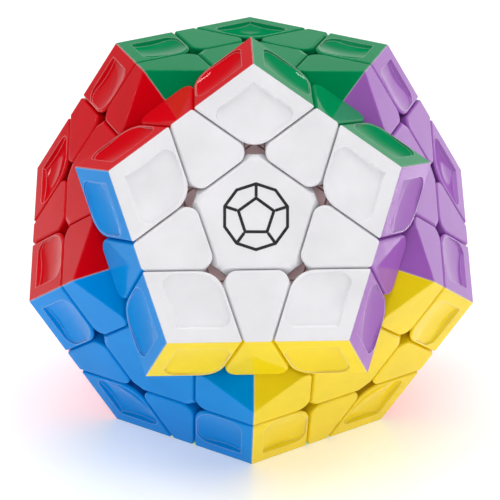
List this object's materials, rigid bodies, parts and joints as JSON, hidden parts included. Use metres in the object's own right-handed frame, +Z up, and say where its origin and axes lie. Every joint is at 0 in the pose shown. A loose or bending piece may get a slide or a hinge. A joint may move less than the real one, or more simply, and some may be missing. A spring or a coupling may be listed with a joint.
{
  "type": "dodecahedron twisty puzzle",
  "caption": "Twelve-sided twisty puzzle with three pieces along each edge, glossy coloured shells on a sprung core, its front layer turned half a step.",
  "frame": {"origin": "centre of the lime face, which the puzzle rests on", "axes": "+Z up, out of the lime face's back through the puzzle; the white layer faces -Y and upwards; +X to the right seen from the white side"},
  "size_m": [0.0864, 0.0885, 0.0794],
  "materials": {
    "white_plastic": "glossy moulded ABS, coloured through",
    "green_plastic": "glossy moulded ABS, coloured through",
    "red_plastic": "glossy moulded ABS, coloured through",
    "blue_plastic": "glossy moulded ABS, coloured through",
    "yellow_plastic": "glossy moulded ABS, coloured through",
    "purple_plastic": "glossy moulded ABS, coloured through",
    "light_blue_plastic": "glossy moulded ABS, coloured through",
    "cream_plastic": "glossy moulded ABS, coloured through",
    "pink_plastic": "glossy moulded ABS, coloured through",
    "lime_plastic": "glossy moulded ABS, coloured through",
    "orange_plastic": "glossy moulded ABS, coloured through",
    "grey_plastic": "glossy moulded ABS, coloured through",
    "foot_plastic": "plain moulded plastic, pale pink, inside the puzzle",
    "core_plastic": "plain moulded plastic, inside the puzzle",
    "zinc_steel": "zinc-plated steel",
    "spring_steel": "drawn steel wire"
  },
  "bodies": {
    "core": {"blue_centre_cap": "blue_plastic", "blue_tiles": "blue_plastic", "centre_bases": "foot_plastic", "core_front_half": "core_plastic", "core_rear_half": "core_plastic", "corner_feet": "foot_plastic", "cream_centre_cap": "cream_plastic", "cream_tiles": "cream_plastic", "edge_feet": "foot_plastic", "green_centre_cap": "green_plastic", "green_tiles": "green_plastic", "grey_centre_cap": "grey_plastic", "grey_tiles": "grey_plastic", "orange_centre_cap": "orange_plastic", "orange_tiles": "orange_plastic", "pink_centre_cap": "pink_plastic", "pink_tiles": "pink_plastic", "purple_centre_cap": "purple_plastic", "purple_tiles": "purple_plastic", "red_centre_cap": "red_plastic", "red_tiles": "red_plastic", "screws": "zinc_steel", "springs": "spring_steel", "washers": "zinc_steel", "yellow_centre_cap": "yellow_plastic", "yellow_tiles": "yellow_plastic"},
    "white_layer": {"white_centre_base": "foot_plastic", "white_centre_cap": "white_plastic", "white_corner_feet": "foot_plastic", "white_corner_tiles": "white_plastic", "white_edge_feet": "foot_plastic", "white_edge_tiles": "white_plastic", "white_layer_blue_tiles": "blue_plastic", "white_layer_green_tiles": "green_plastic", "white_layer_purple_tiles": "purple_plastic", "white_layer_red_tiles": "red_plastic", "white_layer_yellow_tiles": "yellow_plastic"},
    "light_blue_layer": {"light_blue_centre_base": "foot_plastic", "light_blue_centre_cap": "light_blue_plastic", "light_blue_corner_feet": "foot_plastic", "light_blue_corner_tiles": "light_blue_plastic", "light_blue_edge_feet": "foot_plastic", "light_blue_edge_tiles": "light_blue_plastic", "light_blue_layer_cream_tiles": "cream_plastic", "light_blue_layer_green_tiles": "green_plastic", "light_blue_layer_grey_tiles": "grey_plastic", "light_blue_layer_orange_tiles": "orange_plastic", "light_blue_layer_purple_tiles": "purple_plastic"},
    "lime_layer": {"lime_centre_base": "foot_plastic", "lime_centre_cap": "lime_plastic", "lime_corner_feet": "foot_plastic", "lime_corner_tiles": "lime_plastic", "lime_edge_feet": "foot_plastic", "lime_edge_tiles": "lime_plastic", "lime_layer_blue_tiles": "blue_plastic", "lime_layer_grey_tiles": "grey_plastic", "lime_layer_orange_tiles": "orange_plastic", "lime_layer_pink_tiles": "pink_plastic", "lime_layer_yellow_tiles": "yellow_plastic"}
  },
  "joints": [
    {"name": "white_layer_turn", "type": "hinge", "parent": "core", "child": "white_layer", "pos_m": [0, 0, 0.03675], "axis": [0, -0.8944, 0.4472], "continuous": true},
    {"name": "light_blue_layer_turn", "type": "hinge", "parent": "core", "child": "light_blue_layer", "pos_m": [0, 0, 0.03675], "axis": [0.5257, 0.7236, 0.4472], "continuous": true},
    {"name": "lime_layer_turn", "type": "hinge", "parent": "core", "child": "lime_layer", "pos_m": [0, 0, 0.03675], "axis": [0, 0, -1], "continuous": true}
  ]
}
